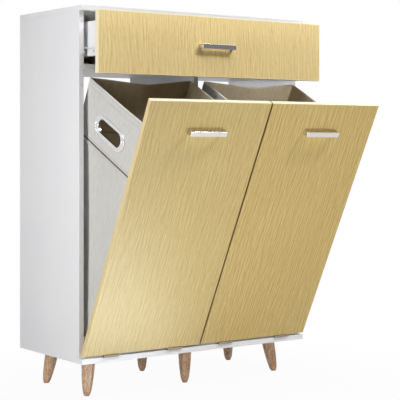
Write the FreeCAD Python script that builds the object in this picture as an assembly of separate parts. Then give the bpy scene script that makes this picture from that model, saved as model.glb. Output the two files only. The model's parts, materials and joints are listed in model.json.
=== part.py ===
import FreeCAD, Part
import math
import os

# Laundry hamper cabinet: a drawer over two tilt-out fabric hampers, on six turned legs.
# Millimetres, +Z up from the floor, front towards -Y, stored with both doors and the drawer open.

# Carcass of white board
carcass_width = 640.0
carcass_height = 800.0
side_depth = 282.0
panel_thickness = 12.0
panel_edge_radius = 0.6

# Drawer front and doors
front_thickness = 12.0
front_edge_radius = 1.0
front_gap = 2.0
side_reveal = 1.5
front_reveal = 3.0
door_gap = 4.0
drawer_front_height = 140.0
shelf_lap = 12.0

# Pose in which the cabinet is stored
door_tilt_deg = 26.0
drawer_open = 65.0

# Turned legs
leg_height = 83.0
leg_top_radius = 15.5
leg_waist_radius = 14.0
leg_toe_radius = 9.8
leg_toe_height = 11.0
leg_toe_bulge_depth = 0.3
leg_tip_radius = 5.0
leg_trim_height = 0.3
leg_splay_deg = 11.5
leg_inset_x = 58.0
leg_inset_y = 57.0
centre_leg_inset_y = 47.0
leg_plate_size = 44.0
leg_plate_thickness = 2.5
leg_plate_screw_inset = 7.0
leg_stud_radius = 4.0
leg_stud_depth = 30.0

# Board joints
dowel_radius = 3.0
dowel_face_depth = 8.0
dowel_edge_depth = 20.0
bolt_radius = 2.5
bolt_face_depth = 8.0
cam_radius = 6.0
cam_depth = 9.0
cam_setback = 24.0
cam_inset = 45.0
dowel_inset = 85.0
joint_clearance = 0.1

# Wood screws
screw_radius = 1.75
screw_head_radius = 3.2
screw_head_height = 1.6
screw_length = 10.0
wafer_head_height = 1.0
screw_clearance = 0.05

# Butt hinges under the doors
hinge_length = 40.0
hinge_inset = 72.0
hinge_barrel_radius = 2.5
hinge_pin_radius = 1.4
hinge_leaf_thickness = 1.2
hinge_leaf_gap = 0.9
hinge_leaf_setback = 1.0
hinge_knuckle_gap = 0.3
hinge_barrel_gap = 0.3
hinge_pin_clearance = 0.05
hinge_screw_inset = 9.0

# Pull handles
handle_length = 96.0
handle_width = 12.0
handle_projection = 16.0
handle_bar_thickness = 4.0
handle_leg_length = 7.0
handle_edge_radius = 1.2
door_handle_drop = 69.0
handle_screw_radius = 2.0
handle_screw_head_radius = 3.5
handle_screw_head_height = 2.0
handle_screw_depth = 8.0
handle_hole_clearance = 0.2

# Hamper carried behind each door
board_lift = 8.0
board_side_gap = 4.0
bracket_thickness = 2.5
bracket_width = 20.0
bracket_door_reach = 60.0
bracket_board_reach = 90.0
bracket_inset = 80.0
bracket_screw_inset = 15.0
bag_side_gap = 12.0
bag_front_gap = 0.5
bag_back_gap = 13.0
bag_seat_gap = 0.3
bag_swing_gap = 17.0
bag_fold_depth = 25.0
bag_wall = 3.0
insert_thickness = 3.0
insert_gap = 1.5
grommet_opening_length = 100.0
grommet_opening_height = 32.0
grommet_rim_width = 7.0
grommet_rim_ends = 14.0
grommet_rim_thickness = 2.2
grommet_bead_width = 2.4
grommet_channel_depth = 1.0
grommet_edge_radius = 0.8
grommet_sleeve = 1.2
grommet_clearance = 0.1
grommet_drop = 75.0

# Tilt stops
peg_radius = 4.0
peg_reach = 10.0
peg_embed = 5.0
peg_board_inset = 18.0
peg_gap = 0.3

# Bumpers behind the fronts
bumper_radius = 3.5
bumper_air = 0.3
bumper_inset = 20.0

# Drawer box
runner_space = 12.5
drawer_side_thickness = 12.0
drawer_side_height = 77.0
drawer_floor_gap = 19.0
drawer_bottom_thickness = 3.0
drawer_groove_depth = 5.0
drawer_groove_lift = 8.0
groove_clearance = 0.15

# Roller runners
rail_sheet = 1.2
rail_setback = 2.0
rail_back_gap = 18.0
rail_overlap = 65.0
rail_lift = 0.4
rail_web_gap = 2.1
track_gap = 1.4
rail_ledge = 11.0
roller_radius = 6.6
roller_gap = 0.3
roller_width = 4.8
roller_side_gap = 0.2
roller_inset = 12.0
axle_radius = 2.0
axle_clearance = 0.05
axle_head_radius = 3.0
axle_head_thickness = 0.8
stop_tab_height = 9.0
stop_gap = 0.3
rail_screw_inset = 40.0
rail_screw_length = 8.0

X_AXIS = FreeCAD.Vector(1, 0, 0)
Y_AXIS = FreeCAD.Vector(0, 1, 0)
Z_AXIS = FreeCAD.Vector(0, 0, 1)
SIDES = {"left": -1, "right": 1}

# Levels, from the floor up
leg_top_z = leg_height - leg_plate_thickness
bottom_z = leg_height
bottom_top_z = bottom_z + panel_thickness
carcass_top_z = bottom_z + carcass_height
top_under_z = carcass_top_z - panel_thickness
hinge_gap = 2 * hinge_leaf_thickness + hinge_leaf_gap
door_bottom_z = bottom_top_z + hinge_gap
drawer_front_top_z = top_under_z - front_reveal
drawer_front_bottom_z = drawer_front_top_z - drawer_front_height
door_top_z = drawer_front_bottom_z - front_reveal
shelf_under_z = drawer_front_bottom_z + shelf_lap
shelf_top_z = shelf_under_z + panel_thickness
drawer_bottom_z = shelf_top_z + drawer_floor_gap
drawer_top_z = drawer_bottom_z + drawer_side_height

# Widths
half_width = carcass_width / 2
inner_half = half_width - panel_thickness
half_partition = panel_thickness / 2
front_half = half_width - side_reveal
drawer_outer_half = inner_half - runner_space
drawer_inner_half = drawer_outer_half - drawer_side_thickness

# Depths: the stored pose is centred on the origin, from the carcass back to the top of the open doors
tilt = math.radians(door_tilt_deg)
front_overhang = front_thickness + front_gap
axis_ahead = hinge_barrel_radius + hinge_barrel_gap
axis_drop = hinge_gap / 2
door_length = door_top_z - door_bottom_z + axis_drop
corner_cut = front_edge_radius * (math.sin(tilt) + math.cos(tilt) - 1)
door_reach = door_length * math.sin(tilt) + axis_ahead * (1 - math.cos(tilt)) - corner_cut
back_y = (side_depth + front_overhang + door_reach) / 2
side_front_y = back_y - side_depth
panel_front_y = side_front_y - front_overhang
front_back_y = panel_front_y + front_thickness
centre_y = (side_front_y + back_y) / 2
axis_y = panel_front_y - axis_ahead
axis_z = door_bottom_z - axis_drop

# Hamper levels and depths with the door shut; its rear top edge swings past under the shelf
board_under_z = door_bottom_z + board_lift
board_top_z = board_under_z + panel_thickness
bag_front_y = front_back_y + bracket_thickness + bag_front_gap
bag_back_y = back_y - bag_back_gap
bag_bottom_z = board_top_z + bracket_thickness + bag_seat_gap
bag_swing = shelf_under_z - bag_swing_gap - axis_z
bag_top_z = axis_z + math.sqrt(bag_swing ** 2 - (bag_back_y - axis_y) ** 2)
board_back_y = bag_back_y

# Runner section: the cabinet rail holds a roller and the drawer's track between its flanges
rail_length = side_depth - panel_thickness - rail_setback - rail_back_gap
drawer_travel = rail_length - rail_overlap
drawer_box_depth = rail_length
rail_height = 2 * (roller_radius + roller_gap) + 3 * rail_sheet + track_gap
rail_flange = runner_space - rail_sheet - rail_web_gap
roller_reach = (runner_space - roller_width) / 2
rail_bottom_z = drawer_bottom_z + rail_lift
rail_top_z = rail_bottom_z + rail_height
track_top_z = rail_top_z - rail_sheet - track_gap
track_under_z = track_top_z - rail_sheet
roller_z = (rail_bottom_z + rail_sheet + track_under_z) / 2
front_roller_y = side_front_y + rail_setback + roller_inset
drawer_rail_front_y = front_back_y + front_gap
rear_roller_y = drawer_rail_front_y + rail_length - roller_inset


def vec(x, y, z):
    return FreeCAD.Vector(x, y, z)


def block(x0, x1, y0, y1, z0, z1):
    low = vec(min(x0, x1), min(y0, y1), min(z0, z1))
    return Part.makeBox(abs(x1 - x0), abs(y1 - y0), abs(z1 - z0), low)


def rod(radius, start, direction, length):
    return Part.makeCylinder(radius, length, start, direction)


def rounded(shape, radius):
    return shape.makeFillet(radius, shape.Edges)


def board(x0, x1, y0, y1, z0, z1):
    return rounded(block(x0, x1, y0, y1, z0, z1), panel_edge_radius)


def drilled(shape, tools):
    return shape.cut(Part.makeCompound(tools)) if tools else shape


def save(name, solids):
    solids = solids if isinstance(solids, list) else [solids]
    pieces = [piece for solid in solids for piece in solid.Solids]
    shape = pieces[0] if len(pieces) == 1 else Part.makeCompound(pieces)
    shape.exportStep("parts/" + name + ".step")


def tilted(shape):
    return shape.rotated(vec(0, axis_y, axis_z), X_AXIS, door_tilt_deg)


def pulled(shape):
    return shape.translated(vec(0, -drawer_open, 0))


def save_door(name, solids):
    solids = solids if isinstance(solids, list) else [solids]
    save(name, [tilted(solid) for solid in solids])


def save_drawer(name, solids):
    solids = solids if isinstance(solids, list) else [solids]
    save(name, [pulled(solid) for solid in solids])


# Screws: the point is the middle of the head's outer face, the direction goes into the wood
def flat_screw(point, direction, grow=0.0):
    radius = screw_radius + grow
    head = Part.makeCone(screw_head_radius + grow, radius, screw_head_height, point, direction)
    return head.fuse(rod(radius, point, direction, screw_length + grow)).removeSplitter()


def wafer_screw(point, direction, length, grow=0.0):
    top = point - direction * wafer_head_height
    head = rod(screw_head_radius + grow, top, direction, wafer_head_height)
    return head.fuse(rod(screw_radius + grow, point, direction, length + grow)).removeSplitter()


def flat_holes(places):
    return [flat_screw(point, direction, screw_clearance) for point, direction in places]


def flat_screws(places):
    return [flat_screw(point, direction) for point, direction in places]


# Board joints: cams sit in one face of the edge panel, bolts and dowels run into the face panel
class BoardJoint:
    def __init__(self, edge, face, origin, inward, cam_side, along, span):
        self.edge = edge
        self.face = face
        half = span / 2
        self.cam_points = [origin + along * (sign * (half - cam_inset)) for sign in (-1, 1)]
        self.dowel_points = [origin + along * (sign * (half - dowel_inset)) for sign in (-1, 1)]
        self.inward = inward
        self.cam_side = cam_side

    def cam(self, point, grow=0.0):
        mouth = point + self.inward * cam_setback + self.cam_side * (panel_thickness / 2)
        return rod(cam_radius + grow, mouth, self.cam_side * -1, cam_depth + grow)

    def bolt(self, point, grow=0.0):
        start = point - self.inward * (bolt_face_depth + grow)
        return rod(bolt_radius + grow, start, self.inward, bolt_face_depth + cam_setback + 2 * grow)

    def dowel(self, point, grow=0.0):
        start = point - self.inward * (dowel_face_depth + grow)
        return rod(dowel_radius + grow, start, self.inward, dowel_face_depth + dowel_edge_depth + 2 * grow)

    def cams(self):
        return [self.cam(p).cut(self.bolt(p, joint_clearance)) for p in self.cam_points]

    def bolts(self):
        return [self.bolt(p) for p in self.cam_points]

    def dowels(self):
        return [self.dowel(p) for p in self.dowel_points]

    def tools(self):
        bored = [self.bolt(p, joint_clearance) for p in self.cam_points]
        pockets = [self.cam(p, joint_clearance) for p in self.cam_points]
        pegged = [self.dowel(p, joint_clearance) for p in self.dowel_points]
        return bored + pockets + pegged


def carcass_joints():
    joints = []
    for name, side in SIDES.items():
        panel = name + "_side_panel"
        inner = X_AXIS * -side
        middle_x = side * (half_width - panel_thickness / 2)
        shelf_end = vec(side * inner_half, centre_y, shelf_under_z + panel_thickness / 2)
        joints += [
            BoardJoint(panel, "top_panel", vec(middle_x, centre_y, top_under_z), Z_AXIS * -1, inner, Y_AXIS,
                       side_depth),
            BoardJoint(panel, "bottom_panel", vec(middle_x, centre_y, bottom_top_z), Z_AXIS, inner, Y_AXIS,
                       side_depth),
            BoardJoint("drawer_shelf", panel, shelf_end, inner, Z_AXIS * -1, Y_AXIS, side_depth),
        ]
    foot = vec(0, centre_y, bottom_top_z)
    head = vec(0, centre_y, shelf_under_z)
    rear = vec(0, back_y - panel_thickness / 2, top_under_z)
    joints += [
        BoardJoint("centre_partition", "bottom_panel", foot, Z_AXIS, X_AXIS, Y_AXIS, side_depth),
        BoardJoint("centre_partition", "drawer_shelf", head, Z_AXIS * -1, X_AXIS, Y_AXIS, side_depth),
        BoardJoint("upper_back_panel", "top_panel", rear, Z_AXIS * -1, Y_AXIS * -1, X_AXIS, 2 * inner_half),
    ]
    return joints


def carcass_panels():
    return {
        "top_panel": board(-half_width, half_width, panel_front_y, back_y, top_under_z, carcass_top_z),
        "bottom_panel": board(-half_width, half_width, panel_front_y, back_y, bottom_z, bottom_top_z),
        "left_side_panel": board(-half_width, -inner_half, side_front_y, back_y, bottom_top_z, top_under_z),
        "right_side_panel": board(inner_half, half_width, side_front_y, back_y, bottom_top_z, top_under_z),
        "drawer_shelf": board(-inner_half, inner_half, side_front_y, back_y, shelf_under_z, shelf_top_z),
        "centre_partition": board(-half_partition, half_partition, side_front_y, back_y, bottom_top_z,
                                  shelf_under_z),
        "upper_back_panel": board(-inner_half, inner_half, back_y - panel_thickness, back_y, shelf_top_z,
                                  top_under_z),
    }


# Legs: place is the middle of the leg's top, lean is the level direction in which it splays
def leg_places():
    places = {}
    for row, row_sign, edge_y in (("front", -1, side_front_y), ("back", 1, back_y)):
        for name, side in SIDES.items():
            place = vec(side * (half_width - leg_inset_x), edge_y - row_sign * leg_inset_y, leg_top_z)
            places["leg_" + row + "_" + name] = (place, vec(side, row_sign, 0).normalize())
        place = vec(0, edge_y - row_sign * centre_leg_inset_y, leg_top_z)
        places["leg_" + row + "_centre"] = (place, None)
    return places


def leaned(shape, lean, place):
    if lean:
        shape = shape.rotated(vec(0, 0, 0), lean.cross(Z_AXIS), leg_splay_deg)
    return shape.translated(place)


def floor_slab(z0, z1):
    return block(-carcass_width, carcass_width, -carcass_width, carcass_width, z0, z1)


def leg_stud(place, lean, grow=0.0):
    length = leg_stud_depth + leg_plate_thickness + leg_plate_size
    stud = rod(leg_stud_radius + grow, vec(0, 0, -leg_stud_depth - grow), Z_AXIS, length)
    return leaned(stud, lean, place).common(floor_slab(0, leg_height))


def leg(place, lean):
    splay = math.radians(leg_splay_deg) if lean else 0.0
    length = leg_top_z / math.cos(splay) + leg_tip_radius * math.tan(splay) + leg_trim_height
    crown = leg_top_radius * math.tan(splay) + leg_trim_height
    toe_z = leg_toe_height - length
    tip_mid_x = (leg_tip_radius + leg_toe_radius) / 2 + leg_toe_bulge_depth
    tip_mid = vec(tip_mid_x, 0, toe_z - leg_toe_height / 2)
    tip = vec(leg_tip_radius, 0, -length)
    toe = vec(leg_toe_radius, 0, toe_z)
    shoulder = vec(leg_top_radius, 0, 0)
    edges = [
        Part.LineSegment(vec(0, 0, crown), vec(0, 0, -length)).toShape(),
        Part.LineSegment(vec(0, 0, -length), tip).toShape(),
        Part.Arc(tip, tip_mid, toe).toShape(),
        Part.Arc(toe, vec(leg_waist_radius, 0, toe_z / 2), shoulder).toShape(),
        Part.LineSegment(shoulder, vec(leg_top_radius, 0, crown)).toShape(),
        Part.LineSegment(vec(leg_top_radius, 0, crown), vec(0, 0, crown)).toShape(),
    ]
    profile = Part.Face(Part.Wire(edges))
    turned = profile.revolve(vec(0, 0, 0), Z_AXIS, 360)
    turned = leaned(turned, lean, place).common(floor_slab(0, leg_top_z))
    return turned.cut(leg_stud(place, lean, joint_clearance))


def plate_screw_places(place):
    reach = leg_plate_size / 2 - leg_plate_screw_inset
    return [(vec(place.x + sx * reach, place.y + sy * reach, leg_top_z), Z_AXIS)
            for sx in (-1, 1) for sy in (-1, 1)]


def leg_plate(place, lean):
    half = leg_plate_size / 2
    plate = block(place.x - half, place.x + half, place.y - half, place.y + half, leg_top_z, leg_height)
    return drilled(plate, [leg_stud(place, lean, joint_clearance)] + flat_holes(plate_screw_places(place)))


# Hinges, at rest with the door shut: barrel in front of the fronts, leaves folded in the gap
def hinge_centres(side):
    return [side * (door_gap / 2 + hinge_inset), side * (front_half - hinge_inset)]


def leaf_screw_places(x, upward):
    z = bottom_top_z + hinge_leaf_thickness if not upward else door_bottom_z - hinge_leaf_thickness
    y = panel_front_y + (front_thickness - hinge_leaf_setback) / 2
    reach = hinge_length / 2 - hinge_screw_inset
    return [(vec(x + sign * reach, y, z), Z_AXIS if upward else Z_AXIS * -1) for sign in (-1, 1)]


def knuckle(x0, x1, radius):
    return rod(radius, vec(x0, axis_y, axis_z), X_AXIS, x1 - x0)


def hinge_leaf(x, z0, z1, own, other, bore, screw_places):
    half = hinge_length / 2
    leaf = block(x - half, x + half, axis_y, front_back_y - hinge_leaf_setback, z0, z1)
    for x0, x1 in other:
        start = x0 - hinge_knuckle_gap
        end = x1 + hinge_knuckle_gap
        room = knuckle(start, end, hinge_barrel_radius + hinge_barrel_gap)
        front = block(start, end, axis_y, panel_front_y, z0, z1)
        leaf = leaf.cut(room).cut(front)
    for x0, x1 in own:
        leaf = leaf.fuse(knuckle(x0, x1, hinge_barrel_radius))
    leaf = leaf.cut(knuckle(x - half, x + half, bore)).removeSplitter()
    return drilled(leaf, flat_holes(screw_places))


def knuckle_spans(x):
    third = hinge_length / 3
    half = hinge_length / 2
    outer = [(x - half, x - half + third), (x + half - third, x + half)]
    inner = [(x - half + third + hinge_knuckle_gap, x + half - third - hinge_knuckle_gap)]
    return outer, inner


def fixed_leaf(x):
    outer, inner = knuckle_spans(x)
    return hinge_leaf(x, bottom_top_z, bottom_top_z + hinge_leaf_thickness, outer, inner, hinge_pin_radius,
                      leaf_screw_places(x, False))


def moving_leaf(x):
    outer, inner = knuckle_spans(x)
    return hinge_leaf(x, door_bottom_z - hinge_leaf_thickness, door_bottom_z, inner, outer,
                      hinge_pin_radius + hinge_pin_clearance, leaf_screw_places(x, True))


def hinge_pin(x):
    return knuckle(x - hinge_length / 2, x + hinge_length / 2, hinge_pin_radius)


# Handles: a flat bar on two legs, with the foot on the plane y and the middle at x, z
def handle_screw_places(x, z):
    reach = handle_length / 2 - handle_leg_length / 2
    return [(x - reach, z), (x + reach, z)]


def handle_screw(x, z, y, grow=0.0):
    shank = rod(handle_screw_radius + grow, vec(x, y + front_thickness, z), Y_AXIS * -1,
                front_thickness + handle_screw_depth + grow)
    head = rod(handle_screw_head_radius, vec(x, y + front_thickness, z), Y_AXIS, handle_screw_head_height)
    return shank if grow else shank.fuse(head).removeSplitter()


def handle(x, z, y):
    half = handle_length / 2
    z0 = z - handle_width / 2
    z1 = z + handle_width / 2
    bow = block(x - half, x + half, y - handle_projection, y, z0, z1)
    reach = half - handle_leg_length
    gap = block(x - reach, x + reach, y - handle_projection + handle_bar_thickness, y, z0, z1)
    bow = bow.cut(gap)
    edges = [edge for edge in bow.Edges if edge.BoundBox.YMin < y - handle_edge_radius]
    bow = bow.makeFillet(handle_edge_radius, edges)
    return drilled(bow, [handle_screw(hx, hz, y, joint_clearance) for hx, hz in handle_screw_places(x, z)])


def handle_screws(x, z, y):
    return [handle_screw(hx, hz, y) for hx, hz in handle_screw_places(x, z)]


def handle_holes(x, z, y):
    return [handle_screw(hx, hz, y, handle_hole_clearance) for hx, hz in handle_screw_places(x, z)]


# Hamper carriers: base board, angle brackets, fabric bag and its grommets
def bay(side):
    return sorted((side * half_partition, side * inner_half))


def bay_middle(side):
    return side * (half_partition + inner_half) / 2


def bracket_xs(side):
    return [bay_middle(side) - bracket_inset, bay_middle(side) + bracket_inset]


def bracket_screw_places(x):
    lifts = (bracket_door_reach - bracket_screw_inset, bracket_door_reach / 2 - bracket_thickness)
    reaches = (bracket_board_reach - bracket_screw_inset, bracket_board_reach / 2)
    door_places = [(vec(x, front_back_y + bracket_thickness, board_top_z + lift), Y_AXIS * -1)
                   for lift in lifts]
    board_places = [(vec(x, front_back_y + reach, board_top_z + bracket_thickness), Z_AXIS * -1)
                    for reach in reaches]
    return door_places + board_places


def bracket(x):
    half = bracket_width / 2
    door_leg = block(x - half, x + half, front_back_y, front_back_y + bracket_thickness, board_top_z,
                     board_top_z + bracket_door_reach)
    board_leg = block(x - half, x + half, front_back_y, front_back_y + bracket_board_reach, board_top_z,
                      board_top_z + bracket_thickness)
    return drilled(door_leg.fuse(board_leg).removeSplitter(), flat_holes(bracket_screw_places(x)))


def base_board(side):
    x0, x1 = bay(side)
    plank = board(x0 + board_side_gap, x1 - board_side_gap, front_back_y, board_back_y, board_under_z,
                  board_top_z)
    return drilled(plank, [hole for x in bracket_xs(side) for hole in flat_holes(bracket_screw_places(x))])


def stadium(x0, x1, y, z, length, height):
    half = length / 2 - height / 2
    core = block(x0, x1, y - half, y + half, z - height / 2, z + height / 2)
    ends = [rod(height / 2, vec(min(x0, x1), y + sign * half, z), X_AXIS, abs(x1 - x0)) for sign in (-1, 1)]
    return core.fuse(ends).removeSplitter()


def bag_span(side):
    x0, x1 = bay(side)
    return x0 + bag_side_gap, x1 - bag_side_gap


def grommet_place():
    return (bag_front_y + bag_back_y) / 2, bag_top_z - grommet_drop


# The rear wall has a soft crease up its middle, deepest at the hem
def bag_ring(x0, x1, inset, z):
    crease = bag_fold_depth * (z - bag_bottom_z) / (bag_top_z - bag_bottom_z)
    front = bag_front_y + inset
    back = bag_back_y - inset
    corners = [vec(x0 + inset, front, z), vec(x1 - inset, front, z), vec(x1 - inset, back, z),
               vec((x0 + x1) / 2, back - crease, z), vec(x0 + inset, back, z)]
    return Part.makePolygon(corners + corners[:1])


def bag_form(x0, x1, inset, z0, z1):
    return Part.makeLoft([bag_ring(x0, x1, inset, z0), bag_ring(x0, x1, inset, z1)], True, True)


def hamper_bag(side):
    x0, x1 = bag_span(side)
    outer = bag_form(x0, x1, 0.0, bag_bottom_z, bag_top_z)
    inner = bag_form(x0, x1, bag_wall, bag_bottom_z + bag_wall, bag_top_z + bag_wall)
    y, z = grommet_place()
    hand_hole = stadium(x0 - bag_wall, x1 + bag_wall, y, z,
                        grommet_opening_length + 2 * (grommet_sleeve + grommet_clearance),
                        grommet_opening_height + 2 * (grommet_sleeve + grommet_clearance))
    return outer.cut(inner).cut(hand_hole)


def grommet_stadium(x0, x1, ends, sides):
    y, z = grommet_place()
    return stadium(x0, x1, y, z, grommet_opening_length + 2 * ends, grommet_opening_height + 2 * sides)


def grommet(wall_x, outward):
    outside = wall_x + outward * grommet_rim_thickness
    inner_wall_x = wall_x - outward * bag_wall
    inside = inner_wall_x - outward * grommet_rim_thickness
    opening = grommet_stadium(outside, inside, 0.0, 0.0)
    channel_floor = outside - outward * grommet_channel_depth
    channel = grommet_stadium(outside, channel_floor, grommet_rim_ends - grommet_bead_width,
                              grommet_rim_width - grommet_bead_width)
    lip = grommet_stadium(outside, channel_floor, grommet_bead_width, grommet_bead_width)
    outer_rim = grommet_stadium(wall_x, outside, grommet_rim_ends, grommet_rim_width)
    outer_rim = softened_rim(outer_rim.cut(opening).cut(channel.cut(lip)), outside)
    inner_rim = grommet_stadium(inner_wall_x, inside, grommet_rim_ends, grommet_rim_width)
    inner_rim = softened_rim(inner_rim.cut(opening), inside)
    sleeve = grommet_stadium(wall_x, inner_wall_x, grommet_sleeve, grommet_sleeve).cut(opening)
    return sleeve.fuse([outer_rim, inner_rim]).removeSplitter()


def softened_rim(rim, face_x):
    edges = [edge for edge in rim.Edges
             if abs(edge.BoundBox.XMin - face_x) < grommet_edge_radius / 2
             and abs(edge.BoundBox.XMax - face_x) < grommet_edge_radius / 2]
    return rim.makeFillet(grommet_edge_radius, edges)


def grommets(side):
    x0, x1 = bag_span(side)
    return [grommet(x0, -1), grommet(x1, 1)]


def bag_insert(side):
    x0, x1 = bag_span(side)
    edge = bag_wall + insert_gap
    floor_z = bag_bottom_z + bag_wall
    return block(x0 + edge, x1 - edge, bag_front_y + edge, bag_back_y - edge, floor_z,
                 floor_z + insert_thickness)


# Tilt stops: pegs that the base board meets from below when the door is open
def peg_centre():
    shut = Part.Vertex(vec(0, board_back_y - peg_board_inset, board_top_z + peg_radius + peg_gap))
    return tilted(shut).Point


def peg(side, from_partition, grow=0.0):
    centre = peg_centre()
    wall_x = side * (half_partition if from_partition else inner_half)
    inward = side if from_partition else -side
    start = vec(wall_x - inward * (peg_embed + grow), centre.y, centre.z)
    return rod(peg_radius + grow, start, X_AXIS * inward, peg_embed + grow + peg_reach)


def pegs(grow=0.0):
    return [peg(side, inner, grow) for side in SIDES.values() for inner in (False, True)]


def bumpers():
    middle_x = half_width - panel_thickness / 2
    levels = (drawer_front_top_z - bumper_inset, shelf_top_z + bumper_inset, door_top_z - bumper_inset)
    return [rod(bumper_radius, vec(side * middle_x, side_front_y, z), Y_AXIS * -1, front_gap - bumper_air)
            for side in SIDES.values() for z in levels]


# Roller runners: reach is measured inwards from the carcass side
def from_wall(side, reach):
    return side * (inner_half - reach)


def sheet(side, reach0, reach1, y0, y1, z0, z1):
    return block(from_wall(side, reach0), from_wall(side, reach1), y0, y1, z0, z1)


def rail_screw_places(side, reach, front_y):
    outward = X_AXIS * side
    return [(vec(from_wall(side, reach), y, roller_z), outward)
            for y in (front_y + rail_screw_inset, front_y + rail_length - rail_screw_inset)]


def cabinet_rail_screws(side):
    return rail_screw_places(side, rail_sheet, side_front_y + rail_setback)


def drawer_rail_screws(side):
    places = rail_screw_places(side, runner_space - rail_sheet, drawer_rail_front_y)
    return [(point, direction * -1) for point, direction in places]


def axle_seat(side, y, inner):
    reach = runner_space - rail_sheet if inner else 0.0
    return rod(axle_radius, vec(from_wall(side, reach), y, roller_z), X_AXIS * -side, rail_sheet)


def cabinet_rail(side):
    front = side_front_y + rail_setback
    end = front + rail_length
    web = sheet(side, 0, rail_sheet, front, end, rail_bottom_z, rail_top_z)
    lower = sheet(side, 0, rail_flange, front, end, rail_bottom_z, rail_bottom_z + rail_sheet)
    upper = sheet(side, 0, rail_flange, front, end, rail_top_z - rail_sheet, rail_top_z)
    shut_y = rear_roller_y + roller_radius + stop_gap
    open_y = rear_roller_y - drawer_travel - roller_radius - stop_gap - rail_sheet
    tab_top_z = rail_bottom_z + rail_sheet + stop_tab_height
    tabs = [sheet(side, 0, rail_flange, y, y + rail_sheet, rail_bottom_z, tab_top_z)
            for y in (open_y, shut_y)]
    rail = web.fuse([lower, upper] + tabs).removeSplitter()
    holes = [wafer_screw(point, direction, rail_screw_length, screw_clearance)
             for point, direction in cabinet_rail_screws(side)]
    return drilled(rail, holes + [axle_seat(side, front_roller_y, False)])


def drawer_rail(side):
    front = drawer_rail_front_y
    end = front + rail_length
    inner = runner_space - rail_sheet
    ledge_z = drawer_bottom_z - rail_sheet
    web = sheet(side, inner, runner_space, front, end, ledge_z, track_top_z)
    track = sheet(side, runner_space - rail_flange, runner_space, front, end, track_under_z, track_top_z)
    ledge = sheet(side, inner, runner_space + rail_ledge, front, end, ledge_z, drawer_bottom_z)
    rail = web.fuse([track, ledge]).removeSplitter()
    holes = [wafer_screw(point, direction, rail_screw_length, screw_clearance)
             for point, direction in drawer_rail_screws(side)]
    return drilled(rail, holes + [axle_seat(side, rear_roller_y, True)])


def axle(side, y, inner):
    near = roller_reach - roller_side_gap
    far = runner_space - near
    start, root, tip = (runner_space, far, near) if inner else (0.0, near, far)
    step = -1 if inner else 1
    sheet_face = start + step * rail_sheet
    direction = X_AXIS * (-side * step)

    def length_rod(radius, reach0, reach1):
        return rod(radius, vec(from_wall(side, reach0), y, roller_z), direction, abs(reach1 - reach0))

    rivet = length_rod(axle_radius, start, tip + step * axle_head_thickness)
    collar = length_rod(axle_head_radius, sheet_face, root)
    head = length_rod(axle_head_radius, tip, tip + step * axle_head_thickness)
    return rivet.fuse([collar, head]).removeSplitter()


def roller(side, y):
    start = vec(from_wall(side, roller_reach), y, roller_z)
    wheel = rod(roller_radius, start, X_AXIS * -side, roller_width)
    return wheel.cut(rod(axle_radius + axle_clearance, start, X_AXIS * -side, roller_width))


# Drawer box, built shut
def drawer_bottom_board(grow=0.0):
    edge = drawer_groove_depth - (0 if grow else groove_clearance)
    z0 = drawer_bottom_z + drawer_groove_lift
    back = front_back_y + drawer_box_depth - drawer_side_thickness
    return block(-drawer_inner_half - edge, drawer_inner_half + edge, front_back_y - edge, back + edge,
                 z0 - grow, z0 + drawer_bottom_thickness + grow)


def drawer_dowel_places():
    mid = drawer_outer_half - drawer_side_thickness / 2
    levels = (drawer_bottom_z + drawer_side_height / 3, drawer_top_z - drawer_side_height / 5)
    back_mid = front_back_y + drawer_box_depth - drawer_side_thickness / 2
    places = []
    for side in SIDES.values():
        for z in levels:
            places.append((vec(side * mid, front_back_y, z), Y_AXIS))
            places.append((vec(side * drawer_inner_half, back_mid, z), X_AXIS * -side))
    return places


def drawer_dowels(grow=0.0):
    length = dowel_face_depth + dowel_edge_depth + 2 * grow
    return [rod(dowel_radius + grow, point - direction * (dowel_face_depth + grow), direction, length)
            for point, direction in drawer_dowel_places()]


def drawer_boards():
    end = front_back_y + drawer_box_depth
    handle_z = (drawer_front_bottom_z + drawer_front_top_z) / 2
    cuts = [drawer_bottom_board(groove_clearance)] + drawer_dowels(joint_clearance)
    face = rounded(block(-front_half, front_half, panel_front_y, front_back_y, drawer_front_bottom_z,
                         drawer_front_top_z), front_edge_radius)
    boards = {"drawer_front": drilled(face, cuts + handle_holes(0, handle_z, panel_front_y))}
    for name, side in SIDES.items():
        plank = board(side * drawer_inner_half, side * drawer_outer_half, front_back_y, end,
                      drawer_bottom_z, drawer_top_z)
        screw_holes = [wafer_screw(point, direction, rail_screw_length, screw_clearance)
                       for point, direction in drawer_rail_screws(side)]
        boards["drawer_" + name + "_side"] = drilled(plank, cuts + screw_holes)
    rear = board(-drawer_inner_half, drawer_inner_half, end - drawer_side_thickness, end,
                 drawer_bottom_z, drawer_top_z)
    boards["drawer_back"] = drilled(rear, cuts)
    boards["drawer_bottom"] = drawer_bottom_board()
    return boards, handle_z


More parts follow.
